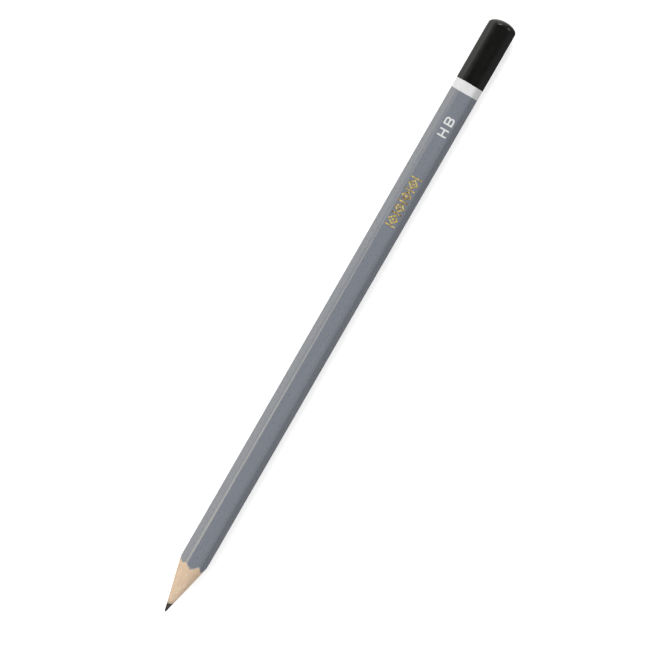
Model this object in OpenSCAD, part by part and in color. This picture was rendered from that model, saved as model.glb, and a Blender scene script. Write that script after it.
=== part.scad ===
// Sharpened hexagonal graphite pencil with a lacquered wooden barrel, a white ring and a black dipped end.
// Millimetres. X runs from the graphite point to the dipped end and Z is up. The pencil lies on one of
// its flats, with the printed flat on top, and the origin is under its middle at its lowest point.

/* [Barrel] */
// Length from the graphite point to the crown of the dipped end
length = 175; // [150:1:180]
// Width of the grey lacquered barrel between two opposite flats
across_flats = 6.88; // [6.8:0.02:7.2]
// Width of the grey lacquered barrel between two opposite rounded corners
across_corners = 7.5; // [7.5:0.05:7.7]

/* [Point] */
// Included angle of the sharpened cone, in degrees
cone_angle = 26.4; // [22:0.2:32]
// Width of the blunted end of the graphite point
tip_width = 0.42; // [0.2:0.02:0.8]
// How far the sharpener cut the cone off the barrel's own axis, towards +Y
sharpening_offset = 0.07; // [0:0.01:0.12]

/* [Graphite core] */
// Diameter of the graphite core
core_d = 1.6; // [1.6:0.1:2.4]

/* [Glue] */
// Thickness of the glue line between the two wooden halves
seam_t = 0.05; // [0.04:0.01:0.1]
// Thickness of the glue between the graphite core and its groove
sleeve_t = 0.08; // [0.06:0.01:0.12]

/* [Coats] */
// Thickness of the grey lacquer on the wood
lacquer_t = 0.1; // [0.08:0.01:0.15]
// Thickness of the white dipped coat on the barrel's sides
white_t = 0.02; // [0.02:0.01:0.06]
// Thickness of the black dipped coat on the barrel's sides
black_t = 0.03; // [0.02:0.01:0.08]
// Thickness of the white coat at the crown of the dipped end
white_crown_t = 0.05; // [0.04:0.01:0.1]
// Thickness of the black coat at the crown of the dipped end
black_crown_t = 0.2; // [0.1:0.05:0.4]

/* [Dipped end] */
// Length of the black coat, from its edge to the crown
cap_length = 18; // [12:0.1:25]
// Width of the white ring left showing below the black coat
ring_width = 2.75; // [1:0.05:5]
// Height of the rounded end's ellipse, from its crown down to its widest place
dome_rise = 2; // [1.5:0.1:3]

/* [Marks] */
// How far both marks sit off the middle of the printed flat, towards -Y
marks_offset = 0.28; // [0:0.02:0.3]

/* [Foil ornament] */
// Distance from the middle of the pencil to the middle of the ornament
ornament_x = 35.45; // [25:0.05:45]
// Number of open lozenges in the row
lozenge_count = 4; // [2:1:4]
// Distance from one lozenge to the next
lozenge_pitch = 3.4; // [3.4:0.1:3.6]
// Length of a lozenge along the pencil
lozenge_length = 2.6; // [2:0.1:2.6]
// Width of a lozenge and height of a bar, across the flat
ornament_width = 2.9; // [2:0.1:3]
// Length of the solid pip in each lozenge; its width is in the lozenge's own proportion
pip_length = 0.8; // [0.4:0.1:0.8]
// Width of the ornament's lines
foil_line = 0.36; // [0.2:0.02:0.4]
// Thickness of the foil
foil_t = 0.03; // [0.02:0.01:0.04]

/* [Grade mark] */
// Distance from the middle of the pencil to the middle of the two letters
grade_x = 57.15; // [50:0.05:60]
// Height of a letter, across the flat
letter_height = 2.5; // [2:0.1:2.6]
// Width of each letter, along the pencil
letter_width = 2.1; // [1.7:0.1:2.2]
// Gap between the two letters
letter_gap = 1.1; // [0.6:0.1:1.4]
// Width of the printed strokes
stroke = 0.42; // [0.3:0.02:0.5]
// Thickness of the printed ink
ink_t = 0.03; // [0.02:0.01:0.04]

/* [Hidden] */

$fn = 96;
// Facets in each rounded corner of the barrel, and in the dome's outline
corner_steps = 8;
dome_steps = 8;
// Overshoot of cutting solids past the faces that they cut
over = 1;

// Half of the difference between corner and flat widths gives the circle that the corners are centred on
corner_circle_r = (across_corners - across_flats) / 2 / (1 - cos(30));
corner_r = across_corners / 2 - corner_circle_r;
flat_r = across_flats / 2;
// The dip coats stand proud of the lacquer, so they set the height of the axis
proud_t = white_t + black_t;
axis_z = flat_r + proud_t;
cone_slope = tan(cone_angle / 2);
tip_x = -length / 2;
end_x = length / 2;
dome_x = end_x - dome_rise;
// The dome's widest radius is just outside the black coat's corners
dome_r = across_corners / 2 + proud_t + 0.05;
cap_x = end_x - cap_length;
ring_x = cap_x - ring_width;
groove_d = core_d + 2 * sleeve_t;

// The pencil is drawn upright, with its middle at the origin, and then laid along X
module lay_down() {
    translate([0, 0, axis_z]) rotate([0, 90, 0]) children();
}

// Corner arcs of the hexagon, drawn inside the lacquer's surface by inset (outside where it is negative)
function hexagon_points(inset) = [
    for (corner = [0:5], step = [0:corner_steps])
        let (middle = 30 + 60 * corner, turn = middle - 30 + 60 * step / corner_steps)
            corner_circle_r * [cos(middle), sin(middle)] + (corner_r - inset) * [cos(turn), sin(turn)]
];

module prism(inset, bottom = tip_x - over, top = end_x + over) {
    translate([0, 0, bottom]) linear_extrude(top - bottom) polygon(hexagon_points(inset));
}

// Everything inside the sharpened cone, which widens past the barrel long before the dipped end
module sharpened_envelope() {
    tip_r = tip_width / 2;
    translate([0, sharpening_offset, tip_x])
        cylinder(h = length + over, r1 = tip_r, r2 = tip_r + (length + over) * cone_slope);
}

// Everything inside the rounded end, drawn in from the black coat by side on the side and crown at the crown
module domed_envelope(side, crown) {
    rise = dome_rise - crown;
    r = dome_r - side;
    outline = [for (step = [0:dome_steps])
        let (turn = 90 * step / dome_steps) [r * cos(turn), dome_x + rise * sin(turn)]];
    rotate_extrude() polygon(concat([[0, tip_x - over], [r, tip_x - over]], outline));
}

// The bare end of wood, core and lacquer, as it was rounded off before it was dipped
module ground_end() {
    domed_envelope(proud_t, white_crown_t + black_crown_t);
}

// The wooden part of the barrel, still without its groove and its glue line
module wooden_barrel() {
    intersection() {
        prism(lacquer_t);
        sharpened_envelope();
        ground_end();
    }
}

// One side of a plane through the axis, from distance apart; upright, -X is the printed side
module half_space(direction, apart) {
    size = across_corners + 2 * over;
    rotate(direction) translate([apart, -size / 2, tip_x - over]) cube([size, size, length + 2 * over]);
}

module wood_half(direction) {
    color("burlywood") lay_down() difference() {
        intersection() {
            wooden_barrel();
            half_space(direction, seam_t / 2);
        }
        translate([0, 0, tip_x - over]) cylinder(h = length + 2 * over, d = groove_d);
    }
}

module wood_half_upper() {
    wood_half(180);
}

module wood_half_lower() {
    wood_half(0);
}

module graphite_core() {
    color("dimgray") lay_down() intersection() {
        translate([0, 0, tip_x - over]) cylinder(h = length + 2 * over, d = core_d);
        sharpened_envelope();
        ground_end();
    }
}

module core_glue_sleeve() {
    color("wheat") lay_down() intersection() {
        difference() {
            translate([0, 0, tip_x - over]) cylinder(h = length + 2 * over, d = groove_d);
            translate([0, 0, tip_x - 2 * over]) cylinder(h = length + 4 * over, d = core_d);
        }
        sharpened_envelope();
        ground_end();
    }
}

// Glue line from the groove out to the corner of the barrel, on the side where Y has the given sign
module seam_glue(side) {
    color("wheat") lay_down() difference() {
        intersection() {
            wooden_barrel();
            translate([-seam_t / 2, side > 0 ? 0 : -across_corners, tip_x - over])
                cube([seam_t, across_corners, length + 2 * over]);
        }
        translate([0, 0, tip_x - over]) cylinder(h = length + 2 * over, d = groove_d);
    }
}

module seam_glue_left() {
    seam_glue(1);
}

module seam_glue_right() {
    seam_glue(-1);
}

module grey_lacquer_coat() {
    color("slategray") lay_down() difference() {
        intersection() {
            prism(0);
            sharpened_envelope();
            ground_end();
        }
        prism(lacquer_t, tip_x - 2 * over, end_x + 2 * over);
    }
}

module white_dip_coat() {
    color("whitesmoke") lay_down() difference() {
        intersection() {
            prism(-white_t, ring_x);
            domed_envelope(black_t, black_crown_t);
        }
        intersection() {
            prism(0, ring_x - over);
            ground_end();
        }
    }
}

module black_dip_cap() {
    color("#222120") lay_down() difference() {
        intersection() {
            prism(-proud_t, cap_x);
            domed_envelope(0, 0);
        }
        intersection() {
            prism(-white_t, cap_x - over);
            domed_envelope(black_t, black_crown_t);
        }
    }
}

// A thin figure laid on the printed flat and over its rounded edges, drawn with its x along the pencil
// and its y across the flat
module on_printed_flat(x, thickness) {
    intersection() {
        translate([x, -marks_offset, axis_z]) linear_extrude(across_flats) children();
        lay_down() difference() {
            prism(-thickness);
            prism(0, tip_x - 2 * over, end_x + 2 * over);
        }
    }
}

module lozenge(length_along, width_across) {
    polygon([[-length_along / 2, 0], [0, -width_across / 2], [length_along / 2, 0], [0, width_across / 2]]);
}

// An open lozenge whose line has the same width on all four sides
module open_lozenge() {
    half_l = lozenge_length / 2;
    half_w = ornament_width / 2;
    // Insetting a rhombus by the line's width scales it by this much
    inner = 1 - foil_line * norm([half_l, half_w]) / (half_l * half_w);
    difference() {
        lozenge(lozenge_length, ornament_width);
        lozenge(lozenge_length * inner, ornament_width * inner);
    }
}

module foil_ornament() {
    row_start = -(lozenge_count - 1) / 2 * lozenge_pitch;
    color("goldenrod") on_printed_flat(ornament_x, foil_t) {
        for (i = [0:lozenge_count - 1])
            translate([row_start + i * lozenge_pitch, 0]) {
                open_lozenge();
                lozenge(pip_length, pip_length * ornament_width / lozenge_length);
            }
        for (i = [0:lozenge_count])
            translate([row_start + (i - 0.5) * lozenge_pitch, 0])
                square([foil_line, ornament_width], center = true);
    }
}

module letter_h() {
    for (side = [-1, 1])
        translate([side * (letter_width - stroke) / 2, 0]) square([stroke, letter_height], center = true);
    square([letter_width - stroke, stroke], center = true);
}

// One bowl of the B: two straight arms joined by half a ring
module bowl() {
    outer_r = (letter_height + stroke) / 4;
    arm = letter_width - outer_r;
    difference() {
        union() {
            translate([0, -outer_r]) square([arm, 2 * outer_r]);
            translate([arm, 0]) circle(outer_r);
        }
        translate([stroke, stroke - outer_r]) square([arm - stroke, 2 * (outer_r - stroke)]);
        translate([arm, 0]) circle(outer_r - stroke);
    }
}

module letter_b() {
    translate([-letter_width / 2, 0])
        for (side = [-1, 1])
            translate([0, side * (letter_height - stroke) / 4]) bowl();
}

module grade_mark() {
    step = (letter_width + letter_gap) / 2;
    color("white") on_printed_flat(grade_x, ink_t) {
        translate([-step, 0]) letter_h();
        translate([step, 0]) letter_b();
    }
}

wood_half_upper();
wood_half_lower();
graphite_core();
core_glue_sleeve();
seam_glue_left();
seam_glue_right();
grey_lacquer_coat();
white_dip_coat();
black_dip_cap();
foil_ornament();
grade_mark();
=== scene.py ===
import math

import bmesh
import bpy
from mathutils import Matrix, Vector, noise


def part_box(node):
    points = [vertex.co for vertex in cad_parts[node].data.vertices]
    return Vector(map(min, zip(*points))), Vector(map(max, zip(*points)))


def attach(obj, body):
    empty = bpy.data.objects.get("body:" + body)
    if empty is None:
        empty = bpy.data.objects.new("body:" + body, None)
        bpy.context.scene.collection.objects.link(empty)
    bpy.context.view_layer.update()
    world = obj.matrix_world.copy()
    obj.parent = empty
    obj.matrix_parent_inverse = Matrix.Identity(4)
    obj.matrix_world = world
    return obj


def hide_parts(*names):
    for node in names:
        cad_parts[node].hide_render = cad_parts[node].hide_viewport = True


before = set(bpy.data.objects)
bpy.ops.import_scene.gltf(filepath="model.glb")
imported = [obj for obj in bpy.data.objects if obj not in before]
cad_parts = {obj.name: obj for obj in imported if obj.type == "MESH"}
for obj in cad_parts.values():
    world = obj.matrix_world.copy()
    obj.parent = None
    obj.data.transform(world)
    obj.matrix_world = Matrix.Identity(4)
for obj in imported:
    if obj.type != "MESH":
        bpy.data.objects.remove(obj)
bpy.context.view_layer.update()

# A sharpened hexagonal graphite pencil: X runs from its point to its dipped end, Z is up.
# Everything is in metres, in the frame of the CAD model.

MM = 0.001

# ---------------------------------------------------------------- Dimensions, from the CAD nodes
lacquer_low, lacquer_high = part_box("grey_lacquer_coat")
wood_low, wood_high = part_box("wood_half_upper")
core_low, core_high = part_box("graphite_core")
groove_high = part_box("core_glue_sleeve")[1]
white_low, white_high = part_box("white_dip_coat")
black_low, black_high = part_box("black_dip_cap")

AXIS_Z = (lacquer_low.z + lacquer_high.z) / 2
CORNER_R = lacquer_high.y
FLAT_R = lacquer_high.z - AXIS_Z
# The rounded corners are centred on the corners of an inner hexagon
HEXAGON_R = (CORNER_R - FLAT_R) / (1 - math.cos(math.radians(30)))
ARC_R = CORNER_R - HEXAGON_R
LACQUER_T = lacquer_high.z - wood_high.z
WHITE_T = white_high.z - lacquer_high.z
PROUD_T = black_high.z - lacquer_high.z
SEAM_HALF = wood_low.z - AXIS_Z
CORE_R = core_high.y
GROOVE_R = groove_high.y
TIP_X = core_low.x
END_X = black_high.x
RING_X = white_low.x
CAP_X = black_low.x
BLACK_CROWN = END_X - white_high.x
BOTH_CROWNS = END_X - core_high.x

# The sharpened cone: half of its angle, its blunted point's radius and its axis's distance towards +Y
CONE_SLOPE = math.tan(math.radians(13.2))
TIP_R = 0.21 * MM
CONE_Y = 0.07 * MM
# The dipped end's ellipse, which is just wider than the black coat's corners
DOME_RISE = 2 * MM
DOME_R = CORNER_R + PROUD_T + 0.05 * MM
DOME_X = END_X - DOME_RISE
# The end was rounded off a little out of square: it reaches further on the -Y side, by this slope
END_LEAN = 0.03
LEAN_START = DOME_X - 1.6 * MM

# Steps in each rounded corner, across each flat, along the barrel and round the lead
ARC_STEPS = 14
FLAT_STEPS = 18
BARREL_STEPS = 48
ROUND_STEPS = 96
HALF_TURN = 3 * (ARC_STEPS + FLAT_STEPS)


# ---------------------------------------------------------------- Mesh helpers
def direction(angle):
    """Unit vector across the barrel, as (Y, Z from the axis), from +Y towards the top."""
    return Vector((math.cos(angle), math.sin(angle)))


def barrel_columns():
    """Base and outward normal of each column round the barrel, from the corner at +Y over the top.
    A coat's surface is at base + normal * (ARC_R - its depth below the lacquer's surface)."""
    columns = []
    for corner in range(6):
        middle = math.radians(60 * corner)
        base = direction(middle) * HEXAGON_R
        next_base = direction(middle + math.radians(60)) * HEXAGON_R
        for step in range(ARC_STEPS):
            turn = middle + math.radians(60 * step / ARC_STEPS - 30)
            columns.append((base, direction(turn)))
        for step in range(FLAT_STEPS):
            columns.append((base.lerp(next_base, step / FLAT_STEPS), direction(middle + math.radians(30))))
    start = ARC_STEPS // 2
    return columns[start:] + columns[:start]


COLUMNS = barrel_columns()


def place(x, across):
    """The point at x whose position across the barrel, from its axis, is given."""
    return Vector((x, across.x, AXIS_Z + across.y))


def cone_x(across):
    """Where the sharpened cone crosses the line along X through a point of the section."""
    return TIP_X + ((across - Vector((CONE_Y, 0))).length - TIP_R) / CONE_SLOPE


def lean(x, across):
    """X of a point of the rounded end, once the end is out of square."""
    share = max(0, min(1, (x - LEAN_START) / (DOME_X - LEAN_START)))
    return min(END_X, x - END_LEAN * across.x * share * share * (3 - 2 * share))


def dome_x(across, side, crown):
    """Where the rounded end, drawn in by side and crown, crosses the line along X through a point."""
    share = min(1, across.length / (DOME_R - side))
    return lean(DOME_X + (DOME_RISE - crown) * math.sqrt(1 - share * share), across)


def soft_min(a, b, reach):
    """The smaller of two lengths, rounded off where they are within reach of each other."""
    blend = max(0, 1 - abs(a - b) / reach)
    return min(a, b) - blend * blend * reach / 4


def sweep(name, profiles, sharp, round_trip=True, loop=False):
    """A mesh from one profile of points per column. sharp lists the profile points with a sharp ring.
    loop joins each profile's last point to its first. Profiles that don't go all round get end faces."""
    mesh = bmesh.new()
    grid = [[mesh.verts.new(point) for point in profile] for profile in profiles]
    columns, rows = len(grid), len(grid[0])
    for i in range(columns if round_trip else columns - 1):
        here, there = grid[i], grid[(i + 1) % columns]
        for j in range(rows if loop else rows - 1):
            face = mesh.faces.new((here[j], there[j], there[(j + 1) % rows], here[(j + 1) % rows]))
            face.smooth = True
        for j in sharp:
            mesh.edges.get((here[j], there[j])).smooth = False
    if not round_trip:
        for rim in (grid[0], grid[-1]):
            for edge in mesh.faces.new(rim).edges:
                edge.smooth = False
    bmesh.ops.remove_doubles(mesh, verts=mesh.verts, dist=1e-8)
    bmesh.ops.recalc_face_normals(mesh, faces=mesh.faces)
    return add_piece(name, mesh)


def add_piece(name, mesh):
    """A new object of the scene from a finished mesh."""
    data = bpy.data.meshes.new(name)
    mesh.to_mesh(data)
    mesh.free()
    piece = bpy.data.objects.new(name, data)
    bpy.context.scene.collection.objects.link(piece)
    return piece


def stands_for(piece, node, material):
    """Gives a piece its material and lets it take the place of a CAD node."""
    piece.data.materials.append(material)
    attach(piece, "root")
    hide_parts(node)


# ---------------------------------------------------------------- Material helpers
def add_node(tree, kind, **settings):
    """A shader node of the given kind, with some of its settings changed."""
    made = tree.nodes.new(kind)
    for key, value in settings.items():
        setattr(made, key, value)
    return made


def new_material(name, **sockets):
    """A material, its node tree and its shader, with values for the shader's sockets."""
    material = bpy.data.materials.new(name)
    material.use_nodes = True
    shader = material.node_tree.nodes["Principled BSDF"]
    for key, value in sockets.items():
        shader.inputs[key.replace("_", " ")].default_value = value
    return material, material.node_tree, shader


def coordinates(tree, per_mm):
    """Object coordinates, scaled to the given number of units per millimetre along X, Y and Z."""
    source = add_node(tree, "ShaderNodeTexCoord")
    mapping = add_node(tree, "ShaderNodeMapping")
    mapping.inputs["Scale"].default_value = [value / MM for value in per_mm]
    tree.links.new(source.outputs["Object"], mapping.inputs["Vector"])
    return mapping.outputs["Vector"]


def noise_field(tree, per_mm, detail=2, roughness=0.5):
    """Smooth noise with the given number of features per millimetre along X, Y and Z."""
    texture = add_node(tree, "ShaderNodeTexNoise")
    texture.inputs["Scale"].default_value = 1
    texture.inputs["Detail"].default_value = detail
    texture.inputs["Roughness"].default_value = roughness
    tree.links.new(coordinates(tree, per_mm), texture.inputs["Vector"])
    return texture.outputs["Fac"]


def along(tree, axis):
    """Position along one axis, in millimetres."""
    split = add_node(tree, "ShaderNodeSeparateXYZ")
    tree.links.new(coordinates(tree, (1, 1, 1)), split.inputs["Vector"])
    return split.outputs[axis]


def remap(tree, value, low, high, to_low, to_high):
    """A value taken from one range to another, and held at that range's ends."""
    node = add_node(tree, "ShaderNodeMapRange")
    for key, number in zip(("From Min", "From Max", "To Min", "To Max"), (low, high, to_low, to_high)):
        node.inputs[key].default_value = number
    tree.links.new(value, node.inputs["Value"])
    return node.outputs["Result"]


def combine(tree, operation, first, second):
    """The sum or product of a value and either another value or a number."""
    node = add_node(tree, "ShaderNodeMath", operation=operation)
    tree.links.new(first, node.inputs[0])
    if isinstance(second, (int, float)):
        node.inputs[1].default_value = second
    else:
        tree.links.new(second, node.inputs[1])
    return node.outputs["Value"]


def blend_colours(tree, factor, first, second):
    """The first colour where factor is 0 and the second where it is 1; either may be a node's output."""
    node = add_node(tree, "ShaderNodeMix", data_type="RGBA")
    tree.links.new(factor, node.inputs["Factor"])
    # A mix node has sockets of the same name for each data type, so the colour ones are found by type
    colours = [socket for socket in node.inputs if socket.type == "RGBA"]
    for socket, colour in zip(colours, (first, second)):
        if isinstance(colour, tuple):
            socket.default_value = (*colour, 1)
        else:
            tree.links.new(colour, socket)
    return [socket for socket in node.outputs if socket.type == "RGBA"][0]


def bump(tree, height, depth_mm, below=None):
    """A normal for relief of the given depth in millimetres, on top of another normal if given."""
    node = add_node(tree, "ShaderNodeBump")
    node.inputs["Strength"].default_value = 1
    node.inputs["Distance"].default_value = depth_mm * MM
    tree.links.new(height, node.inputs["Height"])
    if below is not None:
        tree.links.new(below, node.inputs["Normal"])
    return node.outputs["Normal"]


# ---------------------------------------------------------------- Materials
def wood_material():
    """Pale wood, cut by the sharpener: long fibres, darker pores, reddish clouds, yellowish mottling."""
    material, tree, shader = new_material("cased_wood", Roughness=0.6)
    clouds = noise_field(tree, (0.25, 0.9, 0.9), detail=3)
    fibres = noise_field(tree, (0.22, 5, 5), detail=5, roughness=0.6)
    pores = noise_field(tree, (0.5, 11, 11), detail=2)
    mottle = noise_field(tree, (1.1, 2.4, 2.4), detail=3)
    redness = remap(tree, clouds, 0.38, 0.64, 0, 1)
    colour = blend_colours(tree, redness, (0.77, 0.575, 0.42), (0.665, 0.465, 0.325))
    colour = blend_colours(tree, remap(tree, mottle, 0.44, 0.58, 0, 1), colour, (0.59, 0.475, 0.32))
    colour = blend_colours(tree, remap(tree, fibres, 0.42, 0.66, 0, 0.7), colour, (0.66, 0.47, 0.32))
    colour = blend_colours(tree, remap(tree, pores, 0.6, 0.72, 0, 0.6), colour, (0.42, 0.26, 0.16))
    # Graphite dust that the sharpener dragged onto the wood just behind the lead
    dust_start = TIP_X / MM + 2.3
    dust_end = TIP_X / MM + 4.2
    reach = remap(tree, along(tree, "X"), dust_start, dust_end, 0.5, 0)
    dust = combine(tree, "MULTIPLY", reach, remap(tree, fibres, 0.35, 0.6, 0.4, 1))
    colour = blend_colours(tree, dust, colour, (0.22, 0.18, 0.15))
    tree.links.new(colour, shader.inputs["Base Color"])
    tree.links.new(remap(tree, fibres, 0.3, 0.7, 0.5, 0.75), shader.inputs["Roughness"])
    chatter = noise_field(tree, (3.2, 0.1, 0.1), detail=1)
    normal = bump(tree, fibres, 0.03)
    normal = bump(tree, pores, 0.02, normal)
    normal = bump(tree, chatter, 0.012, normal)
    tree.links.new(normal, shader.inputs["Normal"])
    return material


def graphite_material():
    """Sharpened lead: dark grey with a dull shine and fine turned lines."""
    material, tree, shader = new_material("graphite", Metallic=0.2, Specular_IOR_Level=0.35)
    turned = noise_field(tree, (9, 0.3, 0.3), detail=3)
    grain = noise_field(tree, (14, 14, 14), detail=2)
    shade = remap(tree, grain, 0.35, 0.65, 0, 1)
    colour = blend_colours(tree, shade, (0.025, 0.021, 0.018), (0.043, 0.037, 0.031))
    tree.links.new(colour, shader.inputs["Base Color"])
    tree.links.new(remap(tree, turned, 0.35, 0.65, 0.38, 0.58), shader.inputs["Roughness"])
    tree.links.new(bump(tree, grain, 0.006, bump(tree, turned, 0.012)), shader.inputs["Normal"])
    return material


def glue_material():
    """Thin glue lines, a little darker than the wood and flecked with graphite dust."""
    material, tree, shader = new_material("glue", Roughness=0.5)
    flecks = noise_field(tree, (2, 9, 9), detail=3)
    colour = blend_colours(tree, remap(tree, flecks, 0.4, 0.65, 0, 1), (0.5, 0.38, 0.26), (0.3, 0.23, 0.17))
    tree.links.new(colour, shader.inputs["Base Color"])
    tree.links.new(remap(tree, flecks, 0.3, 0.7, 0.4, 0.6), shader.inputs["Roughness"])
    tree.links.new(bump(tree, flecks, 0.01), shader.inputs["Normal"])
    return material


def lacquer_material():
    """Glossy grey lacquer: faint lengthwise drag lines, orange peel and hairline scratches."""
    # The specular tint takes some blue out of what the lacquer reflects
    material, tree, shader = new_material("grey_lacquer", Specular_IOR_Level=0.75,
                                          Specular_Tint=(1, 0.85, 0.52, 1),
                                          Coat_Weight=0.5, Coat_Roughness=0.14)
    drag = noise_field(tree, (0.05, 2.2, 2.2), detail=3)
    peel = noise_field(tree, (1.4, 1.7, 1.7), detail=2)
    scratches = noise_field(tree, (0.12, 14, 14), detail=1)
    shade = remap(tree, drag, 0.35, 0.65, 0, 1)
    colour = blend_colours(tree, shade, (0.193, 0.211, 0.25), (0.202, 0.221, 0.26))
    tree.links.new(colour, shader.inputs["Base Color"])
    marks = remap(tree, scratches, 0.66, 0.76, 0, 0.02)
    dullness = combine(tree, "ADD", remap(tree, peel, 0.3, 0.7, 0.27, 0.29), marks)
    tree.links.new(dullness, shader.inputs["Roughness"])
    tree.links.new(bump(tree, drag, 0.0015, bump(tree, peel, 0.0005)), shader.inputs["Normal"])
    return material


def white_material():
    """Opaque white dip lacquer with a soft shine."""
    material, tree, shader = new_material("white_lacquer")
    peel = noise_field(tree, (1.1, 1.3, 1.3), detail=2)
    clouds = noise_field(tree, (0.5, 0.6, 0.6), detail=3)
    shade = remap(tree, clouds, 0.4, 0.65, 0, 1)
    colour = blend_colours(tree, shade, (0.735, 0.735, 0.737), (0.7, 0.7, 0.702))
    tree.links.new(colour, shader.inputs["Base Color"])
    tree.links.new(remap(tree, peel, 0.3, 0.7, 0.26, 0.36), shader.inputs["Roughness"])
    tree.links.new(bump(tree, peel, 0.006), shader.inputs["Normal"])
    return material


def black_material():
    """Thick glossy black dip lacquer with fine dust and hairline marks."""
    material, tree, shader = new_material("black_lacquer", Specular_IOR_Level=0.36)
    peel = noise_field(tree, (0.8, 1.0, 1.0), detail=2)
    scratches = noise_field(tree, (0.2, 12, 12), detail=1)
    clouds = noise_field(tree, (0.9, 0.9, 0.9), detail=3)
    shade = remap(tree, clouds, 0.4, 0.65, 0, 1)
    colour = blend_colours(tree, shade, (0.006, 0.006, 0.0055), (0.009, 0.0085, 0.008))
    tree.links.new(colour, shader.inputs["Base Color"])
    marks = remap(tree, scratches, 0.66, 0.76, 0, 0.06)
    dullness = combine(tree, "ADD", remap(tree, peel, 0.3, 0.7, 0.15, 0.21), marks)
    tree.links.new(dullness, shader.inputs["Roughness"])
    tree.links.new(bump(tree, peel, 0.008), shader.inputs["Normal"])
    return material


def foil_material():
    """Hot-stamped gold foil, uneven where the die pressed it into the lacquer, with painted highlights and
    shade in its colour.
    """
    material, tree, shader = new_material("gold_foil", Metallic=0.85)
    dents_and_painted_glints = noise_field(tree, (1.3, 1.9, 1.9), detail=2)
    grain = noise_field(tree, (7, 7, 7), detail=3)
    # Painted highlights and shade: along with the dents, the colour runs from dark brown, where the foil
    # would reflect little, to bright gold, where it would catch the light.
    colour = blend_colours(tree, remap(tree, dents_and_painted_glints, 0.38, 0.6, 0, 1), (0.3, 0.17, 0.03), (0.9, 0.73, 0.26))
    tree.links.new(colour, shader.inputs["Base Color"])
    tree.links.new(remap(tree, grain, 0.35, 0.65, 0.45, 0.62), shader.inputs["Roughness"])
    tree.links.new(bump(tree, grain, 0.01, bump(tree, dents_and_painted_glints, 0.16)), shader.inputs["Normal"])
    return material


def ink_material():
    """Printed white ink, with pinholes that let a little of the grey through."""
    material, tree, shader = new_material("white_ink")
    pinholes = noise_field(tree, (6, 6, 6), detail=3)
    holes = remap(tree, pinholes, 0.6, 0.75, 0, 0.5)
    colour = blend_colours(tree, holes, (0.74, 0.74, 0.73), (0.3, 0.31, 0.33))
    tree.links.new(colour, shader.inputs["Base Color"])
    tree.links.new(remap(tree, pinholes, 0.3, 0.7, 0.4, 0.55), shader.inputs["Roughness"])
    tree.links.new(bump(tree, pinholes, 0.006), shader.inputs["Normal"])
    return material


# ---------------------------------------------------------------- Wood, lead and coats
def wood_half(node, sign, material):
    """One half of the wooden barrel, above the glue line where sign is 1 and below it where sign is -1."""
    cut_steps = 16
    profiles = []
    for base, normal in COLUMNS[:HALF_TURN + 1]:
        outer = base + normal * (ARC_R - LACQUER_T)
        inner = outer.normalized() * GROOVE_R
        cut = [inner.lerp(outer, step / cut_steps) for step in range(cut_steps + 1)]
        cut = [Vector((p.x, sign * max(p.y, SEAM_HALF))) for p in cut]
        front = [place(cone_x(p), p) for p in cut]
        rear = [place(dome_x(p, PROUD_T, BOTH_CROWNS), p) for p in reversed(cut)]
        profiles.append(front + rear)
    edges = (0, cut_steps, cut_steps + 1, 2 * cut_steps + 1)
    piece = sweep(node + "_grained", profiles, edges, round_trip=False, loop=True)
    stands_for(piece, node, material)


def graphite_core(material):
    """The lead: a blunted point, the cut cone and the rod down to the dipped end."""
    cut_steps = 14
    nose_steps = 6
    rear_steps = 4
    tip = Vector((CONE_Y, 0))
    nose_reach = 1.6
    blunting = 0.12 * MM
    profiles = []
    for i in range(ROUND_STEPS):
        outward = direction(math.tau * i / ROUND_STEPS)
        profile = [place(TIP_X, tip)]
        start = tip + outward * TIP_R * nose_reach
        nose = [tip.lerp(start, step / nose_steps) for step in range(1, nose_steps + 1)]
        cut = [start.lerp(outward * CORE_R, step / cut_steps) for step in range(1, cut_steps + 1)]
        for p in nose + cut:
            profile.append(place(-soft_min(-TIP_X, -cone_x(p), blunting), p))
        rear = [outward * CORE_R * (1 - step / rear_steps) for step in range(rear_steps + 1)]
        profile += [place(dome_x(p, PROUD_T, BOTH_CROWNS), p) for p in rear]
        profiles.append(profile)
    edge = nose_steps + cut_steps
    piece = sweep("graphite_core_turned", profiles, (edge, edge + 1))
    stands_for(piece, "graphite_core", material)


def ragged(across, depth, fineness, seed):
    """An uneven amount, never negative and about half of depth on average, smooth round the barrel."""
    spot = Vector((across.x, across.y, 0)) / MM * fineness + Vector((0, 0, seed))
    coarse = noise.noise(spot)
    fine = 0.4 * noise.noise(spot * 3.1)
    return depth * max(0, 0.5 + coarse + fine)


# Where the sharpener broke the lacquer's edge back: degrees from +Y over the top, depth in millimetres
# and half width in degrees
CHIPS = (
    (27, 0.9, 31),
    (81, 0.26, 12),
    (98, 0.18, 10),
    (137, 0.33, 12),
    (205, 0.3, 18),
    (268, 0.22, 14),
    (318, 0.4, 20),
)


def chipped(across):
    """How far back the lacquer's edge is broken in one column."""
    least = 0.06 * MM
    unevenness = 0.1 * MM
    angle = math.degrees(math.atan2(across.y, across.x)) % 360
    depth = ragged(across, unevenness, 1.3, 3) + least
    for middle, deepest, half_width in CHIPS:
        away = min(1, abs((angle - middle + 180) % 360 - 180) / half_width)
        depth += deepest * MM * math.cos(math.radians(90) * away) ** 2
    return depth


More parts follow.
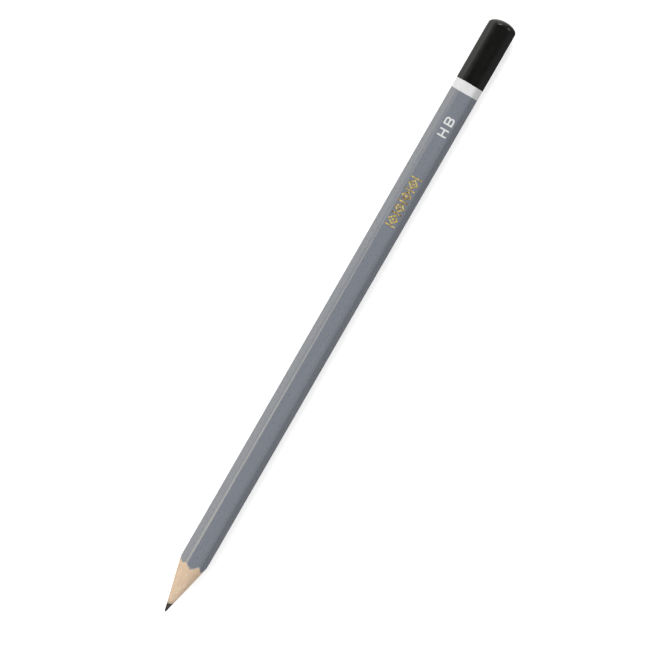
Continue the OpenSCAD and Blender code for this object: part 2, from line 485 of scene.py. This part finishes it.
def lacquer_coat(material):
    """The grey coat from its scalloped edge, a little broken by the sharpener, to the dipped end."""
    profiles = []
    for base, normal in COLUMNS:
        outer = base + normal * ARC_R
        inner = base + normal * (ARC_R - LACQUER_T)
        chip = chipped(outer)
        front, rear = cone_x(outer) + chip, dome_x(outer, PROUD_T, BOTH_CROWNS)
        profile = [place(cone_x(inner) + chip, inner)]
        for step in range(BARREL_STEPS + 1):
            profile.append(place(front + (rear - front) * step / BARREL_STEPS, outer))
        profile.append(place(dome_x(inner, PROUD_T, BOTH_CROWNS), inner))
        profiles.append(profile)
    edges = (0, 1, BARREL_STEPS + 1, BARREL_STEPS + 2)
    piece = sweep("grey_lacquer_skin", profiles, edges, loop=True)
    stands_for(piece, "grey_lacquer_coat", material)


def dipped_outline(base, normal, proud, side, crown):
    """Outer surface of a dip coat in one column: from its crown, over the soft rim, to the barrel."""
    surface = base + normal * (ARC_R + proud)
    outward = surface.normalized()
    rim = 0.26 * MM
    dome_steps = 40
    run_out_steps = 8
    opening_per_mm = 0.12
    points = []
    for step in range(dome_steps, 0, -1):
        turn = math.radians(90) * step / dome_steps
        spot = outward * soft_min(surface.length, (DOME_R - side) * math.cos(turn), rim)
        points.append(place(lean(DOME_X + (DOME_RISE - crown) * math.sin(turn), spot), spot))
    # Ahead of the dome its outline opens out, so that the rim's rounding dies away
    for step in range(run_out_steps + 1):
        before = (DOME_X - LEAN_START) * step / run_out_steps
        opened = DOME_R - side + opening_per_mm * before * before / MM
        spot = outward * soft_min(surface.length, opened, rim)
        points.append(place(lean(DOME_X - before, spot), spot))
    return points


def dip_coat(node, edge_x, heights, domes, material, seed):
    """A dipped coat: its outer surface, a rounded edge drawn up by the liquid, and its inner surface.
    heights are those of its inner and outer surfaces above the lacquer. domes tell how far the same two
    surfaces are drawn in from the outermost dome, at the sides and at the crown."""
    under, proud = heights
    under_dome, dome = domes
    waviness = 0.06 * MM
    ramp = 0.12 * MM
    ramp_steps = 5
    inner_steps = 8
    profiles = []
    for base, normal in COLUMNS:
        profile = dipped_outline(base, normal, proud, *dome)
        edge = edge_x + ragged(base + normal * ARC_R, waviness, 0.45, seed)
        for step in range(ramp_steps, -1, -1):
            turn = math.radians(90) * step / ramp_steps
            rise = under + (proud - under) * math.sin(turn)
            profile.append(place(edge + ramp * (1 - math.cos(turn)), base + normal * (ARC_R + rise)))
        surface = base + normal * (ARC_R + under)
        inner = [surface * (1 - step / inner_steps) for step in range(inner_steps + 1)]
        profile += [place(dome_x(p, *under_dome), p) for p in inner]
        profiles.append(profile)
    first_inner = len(profiles[0]) - inner_steps - 1
    piece = sweep(node + "_dipped", profiles, (first_inner - 1, first_inner))
    stands_for(piece, node, material)


# ---------------------------------------------------------------- Marks on the printed flat
def closed_spline(curve, points):
    """Adds one closed outline to a flat curve."""
    spline = curve.splines.new("POLY")
    spline.points.add(len(points) - 1)
    for target, (x, y) in zip(spline.points, points):
        target.co = (x, y, 0, 1)
    spline.use_cyclic_u = True


def surface_z(y):
    """Height of the lacquer above a point of the printed flat or of its rounded edges."""
    past = max(0, abs(y) - HEXAGON_R / 2)
    return AXIS_Z + HEXAGON_R * math.sin(math.radians(60)) + math.sqrt(ARC_R ** 2 - past ** 2)


def printed_piece(node, name, outlines, material):
    """A thin figure on the printed flat, from outlines about the middle of its CAD node."""
    low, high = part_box(node)
    thickness = high.z - lacquer_high.z
    curve = bpy.data.curves.new(name, "CURVE")
    curve.dimensions = "2D"
    curve.fill_mode = "BOTH"
    curve.extrude = thickness / 2
    for outline in outlines:
        closed_spline(curve, outline)
    drawn = bpy.data.objects.new(name, curve)
    bpy.context.scene.collection.objects.link(drawn)
    graph = bpy.context.evaluated_depsgraph_get()
    mesh = bmesh.new()
    mesh.from_mesh(drawn.evaluated_get(graph).to_mesh())
    bpy.data.objects.remove(drawn)
    bmesh.ops.remove_doubles(mesh, verts=mesh.verts, dist=1e-8)
    bmesh.ops.translate(mesh, verts=mesh.verts, vec=((low.x + high.x) / 2, (low.y + high.y) / 2, 0))
    # Cut lengthwise at the flat's edges and beyond, so that the figure can follow the rounded corners
    cut_count = 6
    cut_pitch = 0.15 * MM
    for side in (-1, 1):
        for step in range(cut_count):
            parts = mesh.verts[:] + mesh.edges[:] + mesh.faces[:]
            line = side * (HEXAGON_R / 2 + step * cut_pitch)
            bmesh.ops.bisect_plane(mesh, geom=parts, plane_co=(0, line, 0), plane_no=(0, 1, 0), dist=1e-9)
    for vertex in mesh.verts:
        vertex.co.z += thickness / 2 + surface_z(vertex.co.y)
    bmesh.ops.recalc_face_normals(mesh, faces=mesh.faces)
    piece = add_piece(name, mesh)
    stands_for(piece, node, material)


def lozenge(x, half_l, half_w):
    """The four corners of a lozenge on the flat's middle line."""
    return [(x - half_l, 0), (x, -half_w), (x + half_l, 0), (x, half_w)]


def box_outline(low_x, low_y, high_x, high_y):
    """The four corners of an upright rectangle."""
    return [(low_x, low_y), (high_x, low_y), (high_x, high_y), (low_x, high_y)]


def foil_outlines():
    """A row of open lozenges, each with a solid pip, between upright bars."""
    low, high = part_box("foil_ornament")
    count = 4
    line = 0.36 * MM
    half_w = (high.y - low.y) / 2
    pitch = (high.x - low.x - line) / count
    half_l = 1.3 * MM
    inner = 1 - line * math.hypot(half_l, half_w) / (half_l * half_w)
    pip = 0.4 * MM
    outlines = []
    for i in range(count):
        x = (i - (count - 1) / 2) * pitch
        outlines.append(lozenge(x, half_l, half_w))
        outlines.append(lozenge(x, half_l * inner, half_w * inner))
        outlines.append(lozenge(x, pip, pip * half_w / half_l))
    for i in range(count + 1):
        x = (i - count / 2) * pitch
        outlines.append(box_outline(x - line / 2, -half_w, x + line / 2, half_w))
    return outlines


def grade_outlines():
    """The generic grade letters H and B, read from the point towards the dipped end."""
    low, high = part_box("grade_mark")
    half_h = (high.y - low.y) / 2
    stroke = 0.42 * MM
    width = 2.1 * MM
    right = (high.x - low.x) / 2
    left = -right
    inside = left + width - stroke
    bar = stroke / 2
    h_outline = [(left, -half_h), (left + stroke, -half_h), (left + stroke, -bar), (inside, -bar),
                 (inside, -half_h), (left + width, -half_h), (left + width, half_h), (inside, half_h),
                 (inside, bar), (left + stroke, bar), (left + stroke, half_h), (left, half_h)]
    stem = right - width
    outer_r = (half_h + stroke / 2) / 2
    hole_r = outer_r - stroke
    middle = (half_h - stroke / 2) / 2
    arc_steps = 20
    b_outline = [(stem, half_h), (stem, -half_h)]
    holes = []
    waist = math.asin(middle / outer_r)
    for side in (-1, 1):
        centre = Vector((right - outer_r, side * middle))
        first, last = (-90, math.degrees(waist)) if side < 0 else (-math.degrees(waist), 90)
        for step in range(arc_steps + 1):
            turn = math.radians(first + (last - first) * step / arc_steps)
            b_outline.append(tuple(centre + direction(turn) * outer_r))
        hole = [(stem + stroke, side * middle + hole_r), (stem + stroke, side * middle - hole_r)]
        for step in range(arc_steps + 1):
            turn = math.radians(-90 + 180 * step / arc_steps)
            hole.append(tuple(centre + direction(turn) * hole_r))
        holes.append(hole)
    return [h_outline, b_outline, *holes]


# ---------------------------------------------------------------- Stage, light and camera
def make_floor():
    """A plain pale table top at the height of the pencil's lowest point."""
    mesh = bmesh.new()
    bmesh.ops.create_grid(mesh, x_segments=1, y_segments=1, size=3)
    floor = add_piece("floor", mesh)
    material, tree, shader = new_material("floor_paper", Roughness=0.9, Emission_Color=(1, 1, 1, 1))
    # The camera sees an even, pale, slightly glowing paper. What the pencil reflects is another one,
    # without the glow,
    # with a painted shadow: it darkens towards -Y, beside the pencil.
    to_camera = add_node(tree, "ShaderNodeLightPath").outputs["Is Camera Ray"]
    glow = 0.5
    pale = (0.85, 0.85, 0.85)
    painted_shadow_side = (0.15, 0.15, 0.15)
    light_side = (0.8, 0.79, 0.76)
    tree.links.new(combine(tree, "MULTIPLY", to_camera, glow), shader.inputs["Emission Strength"])
    # Painted shadow: the reflected paper goes from pale on the +Y side to dark on the -Y side, within 4 mm
    # of the axis.
    reflected = blend_colours(tree, remap(tree, along(tree, "Y"), -4, 4, 0, 1), painted_shadow_side, light_side)
    tree.links.new(blend_colours(tree, to_camera, reflected, pale), shader.inputs["Base Color"])
    floor.data.materials.append(material)


def softbox(name, toward, distance, width, height, radiance):
    """A rectangular area light that faces the middle of the pencil, with the given brightness."""
    data = bpy.data.lights.new(name, "AREA")
    data.shape = "RECTANGLE"
    data.size = width
    data.size_y = height
    data.energy = radiance * math.pi * width * height
    lamp = bpy.data.objects.new(name, data)
    bpy.context.scene.collection.objects.link(lamp)
    middle = Vector((0, 0, AXIS_Z))
    lamp.location = middle + Vector(toward).normalized() * distance
    lamp.rotation_euler = (middle - lamp.location).to_track_quat("-Z", "Y").to_euler()


def make_world():
    """A dim room overhead that brightens towards the horizon and dims towards -Y, but looks pale itself."""
    world = bpy.data.worlds.new("studio")
    bpy.context.scene.world = world
    world.use_nodes = True
    tree = world.node_tree
    background = tree.nodes["Background"]
    source = add_node(tree, "ShaderNodeTexCoord")
    split = add_node(tree, "ShaderNodeSeparateXYZ")
    tree.links.new(source.outputs["Generated"], split.inputs["Vector"])
    height = remap(tree, split.outputs["Z"], 0.1, 0.95, 0.75, 0.12)
    side = remap(tree, split.outputs["Y"], -0.8, 0.5, 0.4, 1)
    room = combine(tree, "MULTIPLY", height, side)
    to_camera = add_node(tree, "ShaderNodeLightPath").outputs["Is Camera Ray"]
    pale = (0.95, 0.95, 0.95)
    tree.links.new(blend_colours(tree, to_camera, room, pale), background.inputs["Color"])
    background.inputs["Strength"].default_value = 1


def turned(degrees, axis):
    """A turn about one axis."""
    return Matrix.Rotation(math.radians(degrees), 4, axis)


def make_camera():
    """A long lens above the pencil, turned so that the pencil runs up the picture at 60 degrees."""
    distance = 600 * MM
    slant = 60
    roll, pitch, yaw = 0.564, -5.602, 0.023
    aside = (1.935 * MM, -1.255 * MM, 0)
    data = bpy.data.cameras.new("camera")
    data.sensor_width = 36
    data.lens = 129.75
    data.clip_start = 0.05
    data.clip_end = 20
    camera = bpy.data.objects.new("camera", data)
    bpy.context.scene.collection.objects.link(camera)
    # From the pencil's frame to the camera's: the pencil is turned about X, Y and Z, moved aside,
    # slanted in the picture and moved away
    to_camera = Matrix.Translation((0, 0, -distance)) @ turned(slant, "Z") @ Matrix.Translation(aside)
    to_camera = to_camera @ turned(yaw, "Z") @ turned(pitch, "Y") @ turned(roll, "X")
    to_camera = to_camera @ Matrix.Translation((0, 0, -AXIS_Z))
    camera.matrix_world = to_camera.inverted()
    bpy.context.scene.camera = camera


# ---------------------------------------------------------------- Build
bpy.context.scene.view_settings.view_transform = "Standard"
make_camera()
make_world()
make_floor()
softbox("key", toward=(-0.4, 0.7, 0.6), distance=0.8, width=0.4, height=0.8, radiance=1.95)
softbox("ridge_light", toward=(-0.25, 0.44, 0.83), distance=0.8, width=0.55, height=0.07, radiance=6.2)
softbox("cap_end_light", toward=(0.75, 0.27, 0.6), distance=1, width=0.3, height=0.3, radiance=14)
softbox("point_end_light", toward=(-0.8, 0, 0.6), distance=1, width=1.2, height=0.5, radiance=1.3)
softbox("point_side_fill", toward=(-0.85, -0.75, 0.46), distance=1, width=0.5, height=0.8, radiance=2.5)
softbox("cap_side_fill", toward=(0.95, -0.75, 0.46), distance=1, width=0.5, height=0.8, radiance=2.5)

wood = wood_material()
graphite = graphite_material()
lacquer = lacquer_material()
white = white_material()
black = black_material()

wood_half("wood_half_upper", 1, wood)
wood_half("wood_half_lower", -1, wood)
graphite_core(graphite)
lacquer_coat(lacquer)
# How far each layer of the dipped end is drawn in from the black coat's dome, at its sides and its crown
lacquer_dome = (PROUD_T, BOTH_CROWNS)
white_dome = (PROUD_T - WHITE_T, BLACK_CROWN)
black_dome = (0, 0)
dip_coat("white_dip_coat", RING_X, (0, WHITE_T), (lacquer_dome, white_dome), white, 11)
dip_coat("black_dip_cap", CAP_X, (WHITE_T, PROUD_T), (white_dome, black_dome), black, 23)
printed_piece("foil_ornament", "foil_ornament_stamped", foil_outlines(), foil_material())
printed_piece("grade_mark", "grade_mark_printed", grade_outlines(), ink_material())

glue = glue_material()
for node in ("core_glue_sleeve", "seam_glue_left", "seam_glue_right"):
    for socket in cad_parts[node].material_slots:
        socket.material = glue
